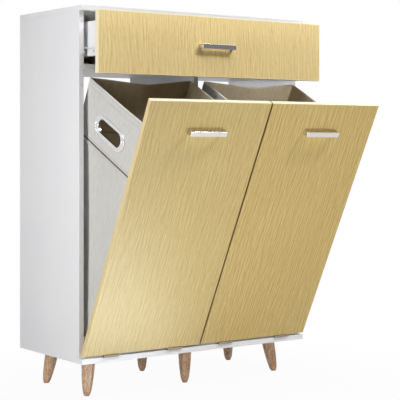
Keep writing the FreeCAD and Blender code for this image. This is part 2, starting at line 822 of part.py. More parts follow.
def build_carcass():
    joints = carcass_joints()
    legs = leg_places()
    plate_screws = [spot for place, lean in legs.values() for spot in plate_screw_places(place)]
    leaf_screws = [spot for side in SIDES.values() for x in hinge_centres(side)
                   for spot in leaf_screw_places(x, False)]
    rail_screws = [wafer_screw(point, direction, rail_screw_length)
                   for side in SIDES.values() for point, direction in cabinet_rail_screws(side)]
    rail_holes = [wafer_screw(point, direction, rail_screw_length, screw_clearance)
                  for side in SIDES.values() for point, direction in cabinet_rail_screws(side)]
    extra = {
        "bottom_panel": flat_holes(plate_screws + leaf_screws),
        "left_side_panel": rail_holes + pegs(joint_clearance),
        "right_side_panel": rail_holes + pegs(joint_clearance),
        "centre_partition": pegs(joint_clearance),
    }
    for name, panel in carcass_panels().items():
        tools = [tool for joint in joints if name in (joint.edge, joint.face) for tool in joint.tools()]
        save(name, drilled(panel, tools + extra.get(name, [])))
    save("cam_locks", [cam for joint in joints for cam in joint.cams()])
    save("cam_bolts", [bolt for joint in joints for bolt in joint.bolts()])
    save("carcass_dowels", [dowel for joint in joints for dowel in joint.dowels()])
    save("cabinet_screws", flat_screws(plate_screws + leaf_screws) + rail_screws)
    save("tilt_stop_pegs", pegs())
    save("front_bumpers", bumpers())
    for name, (place, lean) in legs.items():
        save(name, leg(place, lean))
    save("leg_plates", [leg_plate(place, lean) for place, lean in legs.values()])
    save("leg_studs", [leg_stud(place, lean) for place, lean in legs.values()])


def build_hinges():
    centres = [x for side in SIDES.values() for x in hinge_centres(side)]
    save("hinge_fixed_leaves", [fixed_leaf(x) for x in centres])
    save("hinge_pins", [hinge_pin(x) for x in centres])


def build_runners():
    for name, side in SIDES.items():
        save(name + "_cabinet_rail", cabinet_rail(side))
        save(name + "_front_roller", roller(side, front_roller_y))
        save_drawer(name + "_drawer_rail", drawer_rail(side))
        save_drawer(name + "_rear_roller", roller(side, rear_roller_y))
    save("front_roller_axles", [axle(side, front_roller_y, False) for side in SIDES.values()])
    save_drawer("rear_roller_axles", [axle(side, rear_roller_y, True) for side in SIDES.values()])


def build_drawer():
    boards, handle_z = drawer_boards()
    for name, shape in boards.items():
        save_drawer(name, shape)
    rail_screws = [wafer_screw(point, direction, rail_screw_length)
                   for side in SIDES.values() for point, direction in drawer_rail_screws(side)]
    save_drawer("drawer_handle", handle(0, handle_z, panel_front_y))
    save_drawer("drawer_screws", rail_screws + handle_screws(0, handle_z, panel_front_y))
    save_drawer("drawer_dowels", drawer_dowels())


def build_door(name, side):
    x0, x1 = sorted((side * door_gap / 2, side * front_half))
    middle_x = (x0 + x1) / 2
    handle_z = door_top_z - door_handle_drop
    leaf_screws = [spot for x in hinge_centres(side) for spot in leaf_screw_places(x, True)]
    bracket_screws = [spot for x in bracket_xs(side) for spot in bracket_screw_places(x)]
    face = rounded(block(x0, x1, panel_front_y, front_back_y, door_bottom_z, door_top_z), front_edge_radius)
    holes = flat_holes(leaf_screws + bracket_screws) + handle_holes(middle_x, handle_z, panel_front_y)
    save_door(name + "_door_panel", drilled(face, holes))
    save_door(name + "_door_handle", handle(middle_x, handle_z, panel_front_y))
    save_door(name + "_door_screws", flat_screws(leaf_screws + bracket_screws)
              + handle_screws(middle_x, handle_z, panel_front_y))
    save_door(name + "_hinge_leaves", [moving_leaf(x) for x in hinge_centres(side)])
    save_door(name + "_base_board", base_board(side))
    save_door(name + "_base_brackets", [bracket(x) for x in bracket_xs(side)])
    save_door(name + "_hamper_bag", hamper_bag(side))
    save_door(name + "_bag_insert", bag_insert(side))
    save_door(name + "_bag_grommets", grommets(side))


os.makedirs("parts", exist_ok=True)
build_carcass()
build_hinges()
build_runners()
build_drawer()
for door_name, door_side in SIDES.items():
    build_door(door_name, door_side)
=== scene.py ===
import json
import math
from typing import NamedTuple

import bpy
import numpy as np
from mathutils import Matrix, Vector, noise


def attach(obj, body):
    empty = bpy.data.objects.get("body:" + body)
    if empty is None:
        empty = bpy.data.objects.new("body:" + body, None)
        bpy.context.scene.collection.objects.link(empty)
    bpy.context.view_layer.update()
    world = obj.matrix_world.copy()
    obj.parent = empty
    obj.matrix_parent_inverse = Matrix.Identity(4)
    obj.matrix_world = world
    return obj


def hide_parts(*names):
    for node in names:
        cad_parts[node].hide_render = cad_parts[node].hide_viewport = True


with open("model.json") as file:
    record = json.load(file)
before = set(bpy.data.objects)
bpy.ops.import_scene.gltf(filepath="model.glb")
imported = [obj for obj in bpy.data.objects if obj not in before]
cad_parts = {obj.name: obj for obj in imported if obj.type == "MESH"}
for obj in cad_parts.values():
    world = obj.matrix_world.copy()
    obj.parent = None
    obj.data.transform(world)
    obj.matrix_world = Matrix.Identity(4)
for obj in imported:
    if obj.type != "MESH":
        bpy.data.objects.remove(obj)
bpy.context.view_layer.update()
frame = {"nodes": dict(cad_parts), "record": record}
nodes = frame["nodes"]
record = frame["record"]

# The doors' hinge line and tilt, from the joint that carries the left door
tilt_joint = next(j for j in record["behaviour"]["joints"] if j["name"] == "left_door_tilt")
AXIS_Y, AXIS_Z = tilt_joint["pos_m"][1:]
TILT = math.radians(-tilt_joint["range_deg"][0])


def tilted(point):
    """A point of a shut door's hamper, moved to its place with the door open."""
    x, y, z = point
    dy = y - AXIS_Y
    dz = z - AXIS_Z
    return (x, AXIS_Y + dy * math.cos(TILT) - dz * math.sin(TILT),
            AXIS_Z + dy * math.sin(TILT) + dz * math.cos(TILT))


def shut(point):
    """A point of an open door's hamper, moved to its place with the door shut."""
    x, y, z = point
    dy = y - AXIS_Y
    dz = z - AXIS_Z
    return (x, AXIS_Y + dy * math.cos(TILT) + dz * math.sin(TILT),
            AXIS_Z - dy * math.sin(TILT) + dz * math.cos(TILT))


def node_box(name, place=tuple):
    """Lowest and highest corner of a CAD node, with each point first put through place."""
    node = nodes[name]
    points = np.array([place(node.matrix_world @ v.co) for v in node.data.vertices])
    return points.min(axis=0), points.max(axis=0)


# Shader building helpers
class NodeTree:
    """Short ways to add nodes to a tree and to link them."""

    def __init__(self, tree):
        self.tree = tree

    def add(self, kind, inputs=None, **settings):
        made = self.tree.nodes.new(kind)
        for key, value in settings.items():
            setattr(made, key, value)
        for key, value in (inputs or {}).items():
            self.put(made.inputs[key], value)
        return made

    def put(self, socket, value):
        """Link another node's output to the socket, or set the socket to a plain value."""
        if isinstance(value, bpy.types.NodeSocket):
            self.tree.links.new(value, socket)
        else:
            socket.default_value = value

    def maths(self, operation, a, b):
        return self.add("ShaderNodeMath", {0: a, 1: b}, operation=operation).outputs[0]

    def remap(self, value, start, end, low, high):
        """Low up to start, high from end on, and in proportion between them."""
        made = self.add("ShaderNodeMapRange", {"Value": value, "From Min": start, "From Max": end,
                                               "To Min": low, "To Max": high})
        return made.outputs["Result"]

    def blend(self, share, a, b):
        """A number that goes from a to b as the share goes from 0 to 1."""
        return self.add("ShaderNodeMix", {0: share, 2: a, 3: b}).outputs[0]


class Shader(NodeTree):
    """A new material and its tree."""

    def __init__(self, name):
        self.material = bpy.data.materials.new(name)
        self.material.use_nodes = True
        super().__init__(self.material.node_tree)
        self.bsdf = self.tree.nodes["Principled BSDF"]

    def set(self, **inputs):
        for key, value in inputs.items():
            self.put(self.bsdf.inputs[key.replace("_", " ")], value)

    def coords(self, scale=(1, 1, 1), turn=0.0):
        place = self.add("ShaderNodeTexCoord").outputs["Object"]
        if turn:
            turned = self.add("ShaderNodeMapping", {"Vector": place, "Rotation": (-turn, 0, 0)})
            place = turned.outputs["Vector"]
        return self.stretch(place, scale)

    def stretch(self, vector, scale):
        return self.add("ShaderNodeMapping", {"Vector": vector, "Scale": scale}).outputs["Vector"]

    def shift(self, vector, across):
        """The same place, moved along X."""
        step = self.add("ShaderNodeCombineXYZ", {"X": across}).outputs[0]
        return self.add("ShaderNodeVectorMath", {0: vector, 1: step}, operation="ADD").outputs["Vector"]

    def noise(self, vector, scale, detail, rough=0.55, bend=0.0):
        made = self.add("ShaderNodeTexNoise", {"Vector": vector, "Scale": scale, "Detail": detail,
                                               "Roughness": rough, "Distortion": bend})
        return made.outputs["Fac"]

    def waves(self, vector, direction):
        made = self.add("ShaderNodeTexWave", {"Vector": vector, "Scale": 420.0, "Distortion": 1.5,
                                              "Detail": 2.0, "Detail Scale": 3.0},
                        bands_direction=direction)
        return made.outputs["Fac"]

    def ramp(self, fac, stops):
        made = self.add("ShaderNodeValToRGB", {"Fac": fac})
        band = made.color_ramp
        while len(band.elements) < len(stops):
            band.elements.new(0.5)
        for element, (spot, colour) in zip(band.elements, stops):
            element.position = spot
            element.color = (*colour, 1.0)
        return made.outputs["Color"]

    def level(self, fac, low, high):
        return self.remap(fac, 0.0, 1.0, low, high)

    def mix(self, fac, a, b, blend="MIX"):
        made = self.add("ShaderNodeMix", data_type="RGBA", blend_type=blend)
        self.put(made.inputs["Factor"], fac)
        self.put(made.inputs[6], a)
        self.put(made.inputs[7], b)
        return made.outputs[2]

    def bump(self, height, strength, distance):
        made = self.add("ShaderNodeBump", {"Height": height, "Strength": strength, "Distance": distance})
        self.put(self.bsdf.inputs["Normal"], made.outputs["Normal"])


def linear(red, green, blue):
    """A screen colour, its parts from 0 to 255, in the linear values that shaders take."""
    parts = (red / 255, green / 255, blue / 255)
    return tuple(((v + 0.055) / 1.055) ** 2.4 if v > 0.04 else v / 12.92 for v in parts)


# Colours, and the stops of the ramps
WHITE = linear(255, 255, 255)
BOARD_TONES = [(0.3, linear(234, 234, 236)), (0.7, linear(238, 238, 239))]
OAK_TONES = [(0.30, linear(213, 185, 116)), (0.50, linear(232, 207, 140)), (0.70, linear(244, 222, 160))]
OAK_SPECKS = [(0.36, linear(222, 204, 168)), (0.47, WHITE)]
OAK_CLOUDS = [(0.3, linear(246, 242, 234)), (0.7, WHITE)]
# Painted highlight: cream on the oak boards' top edges and on all of the drawer front's edges, for light
# caught on those edges
EDGE_HIGHLIGHT = linear(246, 236, 210)
# The doors' side and bottom edges: edge band colour lightened with a painted highlight
DOOR_BAND_HIGHLIGHT = linear(222, 202, 153)
# Painted shade: dark brown on the doors' facing edges for the shadow in the gap between the doors
GAP_SHADE_EDGE = linear(150, 110, 56)
LEG_TONES = [(0.30, linear(172, 128, 92)), (0.50, linear(210, 172, 136)), (0.70, linear(230, 200, 168))]
LEG_FLECKS = [(0.36, linear(196, 140, 96)), (0.50, WHITE)]
KNIT_TONES = [(0.1, linear(232, 232, 230)), (0.7, WHITE)]
FLOOR_TONES = [(0.3, (0.34, 0.34, 0.34)), (0.7, (0.36, 0.36, 0.36))]

# Oak grain: distance between a line's light and dark side, in metres, and its stretch along the board
GRAIN_PITCH = 0.0026
GRAIN_STRETCH = (1, 1, 0.06)
GRAIN_SCALE = 310.0

# Edges of an oak board, band colour with painted highlight and painted gap shade: where their colour starts
# and is full, in metres inside the outline, and its share
BAND_HIGHLIGHT_REACH = (0.0024, 0.0010)
GAP_SHADE_REACH = (0.0008, 0.0002)
EDGE_SHARE = 0.8

# Sides of a board: the axis and the end
LEFT_SIDE = (0, -1)
RIGHT_SIDE = (0, 1)
LOWER_SIDE = (2, -1)
UPPER_SIDE = (2, 1)


class OakBoard(NamedTuple):
    """Sides painted dark as the shade in the gap between the doors, the other sides' edge band colour
    lightened with a painted highlight, a tint that paints the board's light and shade, how far the grain
    wanders and its contrast.
    """
    gap_shade_sides: list
    band_highlight_tone: tuple
    shade: tuple
    wander: float
    contrast: float


# Each board's shade is a colour tint that paints its light and shade: the right door darker, the drawer
# front paler
oak_boards = {
    "left_door_panel": OakBoard(gap_shade_sides=[RIGHT_SIDE], band_highlight_tone=DOOR_BAND_HIGHLIGHT, shade=(1.0, 1.0, 0.98),
                                wander=0.018, contrast=0.56),
    "right_door_panel": OakBoard(gap_shade_sides=[LEFT_SIDE], band_highlight_tone=DOOR_BAND_HIGHLIGHT, shade=(0.98, 0.96, 0.87),
                                 wander=0.018, contrast=0.80),
    "drawer_front": OakBoard(gap_shade_sides=[], band_highlight_tone=EDGE_HIGHLIGHT, shade=(1.0, 1.03, 1.16),
                             wander=0.060, contrast=0.42),
}


def white_board():
    s = Shader("white_board_look")
    fine = s.noise(s.coords(), scale=900.0, detail=3.0)
    broad = s.noise(s.coords(), scale=6.0, detail=2.0)
    s.set(Base_Color=s.ramp(broad, BOARD_TONES), Roughness=s.level(broad, low=0.36, high=0.44),
          Specular_IOR_Level=0.35)
    s.bump(fine, strength=0.05, distance=0.0002)
    return s.material


def oak_look(name):
    """Pale oak grain along the board's height, with edge band colour lightened by a painted highlight, a
    cream painted highlight on the top edge, painted shade on the doors' facing sides and a tint that paints
    the board's light and shade.
    """
    board = oak_boards[name]
    turn = TILT if name.endswith("door_panel") else 0.0
    cos = math.cos(turn)
    sin = math.sin(turn)
    low, high = node_box(name, lambda p: (p[0], p[1] * cos + p[2] * sin, p[2] * cos - p[1] * sin))
    s = Shader(name + "_look")
    flat = s.coords((1, 1, 1), turn)
    sway = s.noise(s.stretch(flat, (1, 1, 0.35)), scale=7.0, detail=2.0)
    bent = s.shift(flat, s.maths("MULTIPLY", s.maths("SUBTRACT", sway, 0.5), board.wander))

    def streaks(place):
        return s.noise(s.stretch(place, GRAIN_STRETCH), scale=GRAIN_SCALE, detail=1.0, rough=0.5)

    rise = s.maths("SUBTRACT", streaks(bent), streaks(s.shift(bent, GRAIN_PITCH)))
    lines = s.maths("ADD", s.maths("MULTIPLY", rise, board.contrast), 0.5)
    pores = s.noise(s.stretch(bent, (1, 1, 0.05)), scale=1100.0, detail=2.0, rough=0.6)
    patches = s.noise(s.stretch(flat, (1, 1, 0.6)), scale=5.0, detail=2.0)
    tone = s.mix(0.5, s.ramp(lines, OAK_TONES), s.ramp(pores, OAK_SPECKS), "MULTIPLY")
    # Painted light and shade: the board's own tint
    tone = s.mix(1.0, tone, (*board.shade, 1.0), "MULTIPLY")
    tone = s.mix(0.5, tone, s.ramp(patches, OAK_CLOUDS), "MULTIPLY")
    parts = s.add("ShaderNodeSeparateXYZ", {"Vector": flat}).outputs

    def edges(sides, reach):
        """Nought on the board's face, and EDGE_SHARE at its outline on the named sides."""
        start, full = reach
        nearest = -1.0
        for axis, end in sides:
            if end > 0:
                beyond = s.maths("SUBTRACT", parts[axis], high[axis])
            else:
                beyond = s.maths("SUBTRACT", low[axis], parts[axis])
            nearest = s.maths("MAXIMUM", beyond, nearest)
        return s.remap(nearest, -start, -full, 0.0, EDGE_SHARE)

    band_highlight_sides = [side for side in (LEFT_SIDE, RIGHT_SIDE, LOWER_SIDE) if side not in board.gap_shade_sides]
    # Edge band colour with a painted highlight on the banded sides
    tone = s.mix(edges(band_highlight_sides, BAND_HIGHLIGHT_REACH), tone, (*board.band_highlight_tone, 1.0))
    # Painted shade of the gap between the doors, on their facing sides
    if board.gap_shade_sides:
        tone = s.mix(edges(board.gap_shade_sides, GAP_SHADE_REACH), tone, (*GAP_SHADE_EDGE, 1.0))
    # Painted highlight along the top edge
    tone = s.mix(edges([UPPER_SIDE], BAND_HIGHLIGHT_REACH), tone, (*EDGE_HIGHLIGHT, 1.0))
    s.set(Base_Color=tone, Roughness=s.level(pores, low=0.54, high=0.60), Specular_IOR_Level=0.3)
    s.bump(pores, strength=0.10, distance=0.0003)
    return s.material


def turned_wood():
    s = Shader("leg_wood_look")
    grain = s.noise(s.coords((1, 1, 0.12)), scale=160.0, detail=5.0, rough=0.6, bend=0.5)
    fine = s.noise(s.coords((1, 1, 0.05)), scale=700.0, detail=3.0)
    flecks = s.noise(s.coords((1, 1, 0.4)), scale=330.0, detail=2.0, rough=0.6)
    tone = s.mix(0.6, s.ramp(grain, LEG_TONES), s.ramp(flecks, LEG_FLECKS), "MULTIPLY")
    s.set(Base_Color=tone, Roughness=s.level(grain, low=0.38, high=0.5))
    s.bump(fine, strength=0.1, distance=0.0003)
    return s.material


def plated(name, colour, smooth_end, rough_end):
    """Metal with a faint smear of darker and smoother places."""
    s = Shader(name)
    light = linear(*colour)
    smear = s.noise(s.coords((1, 6, 6)), scale=60.0, detail=3.0)
    tone = s.ramp(smear, [(0.3, tuple(v * 0.94 for v in light)), (0.7, light)])
    s.set(Base_Color=tone, Metallic=1.0, Roughness=s.level(smear, smooth_end, rough_end))
    return s.material


def plain(name, dark, light, rough, scale):
    s = Shader(name)
    spread = s.noise(s.coords(), scale, detail=3.0)
    tone = s.ramp(spread, [(0.3, linear(*dark)), (0.7, linear(*light))])
    s.set(Base_Color=tone, Roughness=s.level(spread, low=rough, high=rough + 0.08))
    s.bump(spread, strength=0.05, distance=0.0002)
    return s.material


def linen(name, dark, light):
    s = Shader(name)
    place = s.coords((1, 1, 1), TILT)
    weave = s.maths("MULTIPLY", s.waves(place, "Z"), s.waves(place, "DIAGONAL"))
    slub = s.noise(s.coords((1, 1, 0.2), TILT), scale=240.0, detail=4.0, rough=0.6)
    tone = s.ramp(slub, [(0.28, linear(*dark)), (0.7, linear(*light))])
    s.set(Base_Color=s.mix(0.6, tone, s.ramp(weave, KNIT_TONES), "MULTIPLY"), Roughness=0.85,
          Sheen_Weight=0.03, Specular_IOR_Level=0.08)
    s.bump(weave, strength=0.25, distance=0.0003)
    return s.material


looks = {
    "white_board": white_board(),
    "white_hardboard": plain("hardboard_look", (226, 226, 226), (234, 234, 233), rough=0.5, scale=40.0),
    "leg_wood": turned_wood(),
    "chrome": plated("chrome_look", (236, 236, 237), smooth_end=0.10, rough_end=0.16),
    "zinc_steel": plated("zinc_look", (205, 207, 210), smooth_end=0.24, rough_end=0.36),
    # Handle steel tinted warm: a painted reflection of the oak around the handles
    "handle_steel_painted_reflection": plated("handle_look", (219, 216, 212), smooth_end=0.14, rough_end=0.22),
    # Hinge steel tinted brown and darkened: a painted reflection of the oak doors and painted shade of the
    # gap it sits in
    "hinge_steel_painted_reflection": plated("hinge_look", (148, 138, 124), smooth_end=0.45, rough_end=0.6),
    "white_steel": plain("white_steel_look", (228, 229, 230), (236, 236, 237), rough=0.3, scale=60.0),
    "white_nylon": plain("nylon_look", (226, 226, 222), (236, 236, 232), rough=0.4, scale=90.0),
    "linen": linen("linen_look", (208, 207, 203), (221, 220, 217)),
    "stiffener": plain("stiffener_look", (128, 120, 106), (146, 138, 122), rough=0.6, scale=120.0),
    "beech": plain("beech_look", (205, 172, 130), (222, 192, 150), rough=0.6, scale=150.0),
    "clear_rubber": plain("rubber_look", (210, 212, 212), (222, 223, 223), rough=0.25, scale=80.0),
}
linen_inside = linen("linen_inside_look", (172, 158, 134), (188, 176, 153))
# Painted shadow: dark grey on the faces along the fold seam's groove
seam_painted_shadow = plain("seam_shadow_paint_look", (66, 65, 62), (84, 83, 80), rough=0.8, scale=400.0)
# Thread colour, darker than the cloth, partly painted shade for the stitches' small shadows
thread_with_painted_shade = plain("stitch_painted_shade_look", (150, 147, 140), (170, 167, 160), rough=0.8, scale=400.0)

slot_of = {row["node"]: row["material_slot"] for row in record["subparts"]}
for name, node in nodes.items():
    if slot_of[name] == "oak_board":
        look = oak_look(name)
    elif "hinge" in name:
        look = looks["hinge_steel_painted_reflection"]
    elif name.endswith("handle"):
        look = looks["handle_steel_painted_reflection"]
    else:
        look = looks[slot_of[name]]
    node.data.materials.clear()
    node.data.materials.append(look)

# Fabric hampers: walls, hand holes and hem, in metres
BAG_WALL = 0.003
BAG_CORNER = 0.004
BAG_FOLD = 0.025
HAND_HOLE_DROP = 0.075
HAND_HOLE_LENGTH = 0.100
HAND_HOLE_HEIGHT = 0.032
HAND_HOLE_MARGIN = 0.003
HEM = 0.018
HEM_STEP = 0.0007
HEM_SLOPE = (-0.001, 0.0015)

# Rim: how far it stands over the last row of the walls, in metres, and its places as shares of the wall
RIM_CROWN = 0.0012
RIM_SHOULDER = 0.0010
CROWN_PLACE = 0.5
OUTER_SHOULDER_PLACE = 0.25
INNER_SHOULDER_PLACE = 0.78

# Fold seam: its height, the groove and the welt by place over it, width and depth, and the painted shadow
# line in the groove
SEAM_HEIGHT = 0.403
GROOVE_PLACE = 0.0010
GROOVE_WIDTH = 0.0018
GROOVE_DEPTH = 0.0030
WELT_PLACE = -0.0040
WELT_WIDTH = 0.0026
WELT_DEPTH = 0.0026
SHADOW_LINE_PLACE = 0.0005
SHADOW_LINE_REACH = 0.0012

# Slack of the cloth: depths and reaches in metres, shares, and noise scales along and up the walls
BOW_DEPTH = 0.0022
BOW_START = 0.05
BOW_SPAN = 0.9
RIPPLE_DEPTH = 0.0014
RIPPLE_SCALES = (9, 5)
CREASE_DEPTH = 0.0006
CREASE_SCALES = (30, 14)
CREASE_OFFSET = 5
STIFF_REACH = (0.016, 0.075)
FOLD_SOFTNESS = 0.06
SAG_DEPTH = 0.0016
SAG_REACH = 0.09

# Mesh: points round a corner, and in metres the usual step, the rows at seam and hem and the rim's gap
CORNER_STEPS = 5
MESH_STEP = 0.006
SEAM_ROWS = [0.001 * d for d in range(-10, 6)]
HEM_ROWS = (-0.0015, 0.0, 0.001)
RIM_GAP = 0.0005

# Thread ticks: step, half sizes, height over the cloth and rows in metres, and the share of a wall they span
TICK_STEP = 0.0056
TICK_LONG = 0.0018
TICK_WIDE = 0.0005
TICK_PROUD = 0.0004
TICK_LIFT = 0.00005
TICKS_UNDER_RIM = 0.005
TICKS_OVER_HEM = 0.0035
TICKS_OVER_SEAM = 0.008
TICKS_FROM = 0.01
TICKS_TO = 0.985


def new_piece(name, verts, faces, materials):
    mesh = bpy.data.meshes.new(name)
    mesh.from_pydata(verts, [], faces)
    for material in materials:
        mesh.materials.append(material)
    mesh.update()
    made = bpy.data.objects.new(name, mesh)
    bpy.context.scene.collection.objects.link(made)
    return made


def smooth(value, low, high):
    """Nought up to low, one from high on, and a smooth step between them."""
    t = min(1.0, max(0.0, (value - low) / (high - low)))
    return t * t * (3 - 2 * t)


def bell(value, middle, width):
    return math.exp(-((value - middle) / width) ** 2)


def from_hand_hole(dy, dz):
    """Distance from the hand hole's outline, less than nought inside it."""
    half = HAND_HOLE_LENGTH / 2 - HAND_HOLE_HEIGHT / 2
    reach = math.hypot(max(0.0, abs(dy) - half), dz)
    return reach - HAND_HOLE_HEIGHT / 2


class Hamper:
    """One hamper as it hangs with its door shut; its walls are front, right, back and left."""
    FRONT, RIGHT, BACK, LEFT = range(4)

    def __init__(self, label, seed):
        self.label = label
        self.seed = seed
        low, high = node_box(label + "_hamper_bag", shut)
        self.x0, self.y0, self.z0 = low
        self.x1, self.y1, self.z1 = high
        self.height = self.z1 - self.z0
        self.middle_y = (self.y0 + self.y1) / 2

    def outline(self, step):
        """Points round the hamper: place, outward normal, wall number and share along that wall."""
        r = BAG_CORNER
        corners = [(self.x1 - r, self.y0 + r, -90), (self.x1 - r, self.y1 - r, 0),
                   (self.x0 + r, self.y1 - r, 90), (self.x0 + r, self.y0 + r, 180)]
        found = []
        for wall, (cx, cy, start) in enumerate(corners):
            px, py, _ = corners[wall - 1]
            facing = math.radians(90 * (wall - 1))
            nx, ny = math.cos(facing), math.sin(facing)
            ax, ay = px + r * nx, py + r * ny
            bx, by = cx + r * nx, cy + r * ny
            count = max(2, round(math.hypot(bx - ax, by - ay) / step))
            for i in range(count):
                t = i / count
                found.append((ax + (bx - ax) * t, ay + (by - ay) * t, nx, ny, wall, t))
            for i in range(CORNER_STEPS):
                angle = math.radians(start + 90 * i / CORNER_STEPS)
                nx, ny = math.cos(angle), math.sin(angle)
                found.append((cx + r * nx, cy + r * ny, nx, ny, wall, 1.0))
        return found

    def waviness(self, x, y, height, scales, offset=0):
        """Smooth noise from 0 to 1 over the walls."""
        along, up = scales
        return noise.noise(Vector((x * along + self.seed, y * along + offset, height * up))) * 0.5 + 0.5

    def slack(self, x, y, height, wall, t):
        """How far the cloth lies inside its flat wall."""
        up = height / self.height
        bow = math.sin(math.pi * t) * math.sin(math.pi * min(1.0, up * BOW_SPAN + BOW_START))
        ripple = self.waviness(x, y, height, RIPPLE_SCALES)
        crease = self.waviness(x, y, height, CREASE_SCALES, CREASE_OFFSET)
        depth = bow * BOW_DEPTH + math.sin(math.pi * t) * (RIPPLE_DEPTH * ripple + CREASE_DEPTH * crease)
        if wall in (self.LEFT, self.RIGHT):
            away = from_hand_hole(y - self.middle_y, height - self.height + HAND_HOLE_DROP)
            depth *= smooth(away, *STIFF_REACH)
        if wall == self.BACK:
            end = math.hypot(1, FOLD_SOFTNESS)
            ridge = end - math.hypot(2 * t - 1, FOLD_SOFTNESS)
            depth += BAG_FOLD * up * ridge / (end - FOLD_SOFTNESS)
        return depth

    def seam_step(self, height):
        """A sewn fold: a groove over a welt that stands a little proud."""
        above = height - SEAM_HEIGHT
        groove = bell(above, GROOVE_PLACE, GROOVE_WIDTH) * GROOVE_DEPTH
        welt = bell(above, WELT_PLACE, WELT_WIDTH) * WELT_DEPTH
        return groove - welt

    def hem_step(self, height):
        return HEM_STEP * smooth(self.height - HEM - height, *HEM_SLOPE)

    def sag(self, t, height):
        return SAG_DEPTH * math.sin(math.pi * t) ** 2 * smooth(height, self.height - SAG_REACH, self.height)

    def levels(self):
        """Heights of the mesh rows, closer together at the seam and the hem."""
        marks = list(np.arange(0.0, self.height, MESH_STEP))
        marks += [SEAM_HEIGHT + d for d in SEAM_ROWS]
        marks += [self.height - HEM + d for d in HEM_ROWS]
        top = self.height - RIM_CROWN
        return sorted(set(round(m, 5) for m in marks if m < top - RIM_GAP)) + [top]

    def shell(self):
        """The cloth with its inside, rim, hand holes and bottom."""
        ring = self.outline(MESH_STEP)
        levels = self.levels()
        count = len(ring)
        verts = []
        faces = []
        inner_faces = []
        seam_shadow_faces = set()

        def row(height, thickness, lift=0.0):
            first = len(verts)
            for x, y, nx, ny, wall, t in ring:
                inward = self.slack(x, y, height, wall, t) + thickness
                if thickness < BAG_WALL:
                    inward += self.seam_step(height) + self.hem_step(height)
                z = self.z0 + height - self.sag(t, height) + lift
                verts.append(tilted((x - nx * inward, y - ny * inward, z)))
            return first

        def removed(k, i):
            """Whether the hand hole takes the face over row k at point i."""
            if k + 1 >= len(levels) or ring[i][4] not in (self.LEFT, self.RIGHT) or ring[i][5] == 1.0:
                return False
            follow = ring[(i + 1) % count]
            y = (ring[i][1] + follow[1]) / 2 - self.middle_y
            z = (levels[k] + levels[k + 1]) / 2 - self.height + HAND_HOLE_DROP
            return from_hand_hole(y, z) < HAND_HOLE_MARGIN

        def in_seam_shadow(k):
            """Whether the faces over row k lie in the seam's painted shadow line."""
            if k + 1 >= len(levels):
                return False
            return abs((levels[k] + levels[k + 1]) / 2 - SEAM_HEIGHT - SHADOW_LINE_PLACE) < SHADOW_LINE_REACH

        top = levels[-1]
        outer = [row(h, 0.0) for h in levels]
        outer.append(row(top, BAG_WALL * OUTER_SHOULDER_PLACE, RIM_SHOULDER))
        crown = row(top, BAG_WALL * CROWN_PLACE, RIM_CROWN)
        inner = [row(h, BAG_WALL) for h in levels]
        inner.append(row(top, BAG_WALL * INNER_SHOULDER_PLACE, RIM_SHOULDER))
        for k in range(len(outer) - 1):
            for i in range(count):
                j = (i + 1) % count
                if not removed(k, i):
                    if in_seam_shadow(k):
                        seam_shadow_faces.add(len(faces))
                    faces.append((outer[k] + i, outer[k] + j, outer[k + 1] + j, outer[k + 1] + i))
                    inner_faces.append((inner[k] + j, inner[k] + i, inner[k + 1] + i, inner[k + 1] + j))
                    continue
                for near, spot in ((i - 1, i), (j, j)):
                    if not removed(k, near):
                        faces.append((outer[k] + spot, outer[k + 1] + spot,
                                      inner[k + 1] + spot, inner[k] + spot))
                for step, level in ((-1, k), (1, k + 1)):
                    if not removed(k + step, i):
                        faces.append((outer[level] + i, outer[level] + j,
                                      inner[level] + j, inner[level] + i))
        for i in range(count):
            j = (i + 1) % count
            faces.append((outer[-1] + i, outer[-1] + j, crown + j, crown + i))
            faces.append((crown + i, crown + j, inner[-1] + j, inner[-1] + i))
        faces.append(tuple(outer[0] + i for i in reversed(range(count))))
        floor_row = row(BAG_WALL, BAG_WALL)
        inner_faces.append(tuple(floor_row + i for i in range(count)))
        made = new_piece(self.label + "_linen_hamper", verts, faces + inner_faces,
                         [looks["linen"], linen_inside, seam_painted_shadow])
        for index, polygon in enumerate(made.data.polygons):
            polygon.use_smooth = len(polygon.vertices) == 4
            # Outer cloth, inside lining, and the painted shadow line along the seam
            polygon.material_index = 1 if index >= len(faces) else 2 if index in seam_shadow_faces else 0
        return made

    def stitches(self):
        """Thread ticks along the hem and above the fold seam, on the outer faces, in a thread colour
        darkened with painted shade.
        """
        half = TICK_LONG / 2
        tick = [(-TICK_LONG, 0, 0), (-half, TICK_WIDE, TICK_PROUD), (half, TICK_WIDE, TICK_PROUD),
                (TICK_LONG, 0, 0), (half, -TICK_WIDE, TICK_PROUD), (-half, -TICK_WIDE, TICK_PROUD)]
        verts = []
        faces = []
        for height in (self.height - TICKS_UNDER_RIM, self.height - HEM + TICKS_OVER_HEM,
                       SEAM_HEIGHT + TICKS_OVER_SEAM):
            for x, y, nx, ny, wall, t in self.outline(TICK_STEP):
                if not TICKS_FROM < t < TICKS_TO:
                    continue
                depth = self.slack(x, y, height, wall, t) + self.hem_step(height) + self.seam_step(height)
                z = self.z0 + height - self.sag(t, height)
                first = len(verts)
                for along, up, out in tick:
                    reach = out - depth + TICK_LIFT
                    verts.append(tilted((x + nx * reach - ny * along, y + ny * reach + nx * along, z + up)))
                faces += [(first, first + 5, first + 1), (first + 1, first + 5, first + 4, first + 2),
                          (first + 2, first + 4, first + 3)]
        return new_piece(self.label + "_hamper_stitches", verts, faces, [thread_with_painted_shade])


for label, seed in (("left", 1.7), ("right", 8.3)):
    hamper = Hamper(label, seed)
    bag = hamper.shell()
    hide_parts(label + "_hamper_bag")
    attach(bag, label + "_door")
    ticks = hamper.stitches()
    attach(ticks, label + "_door")

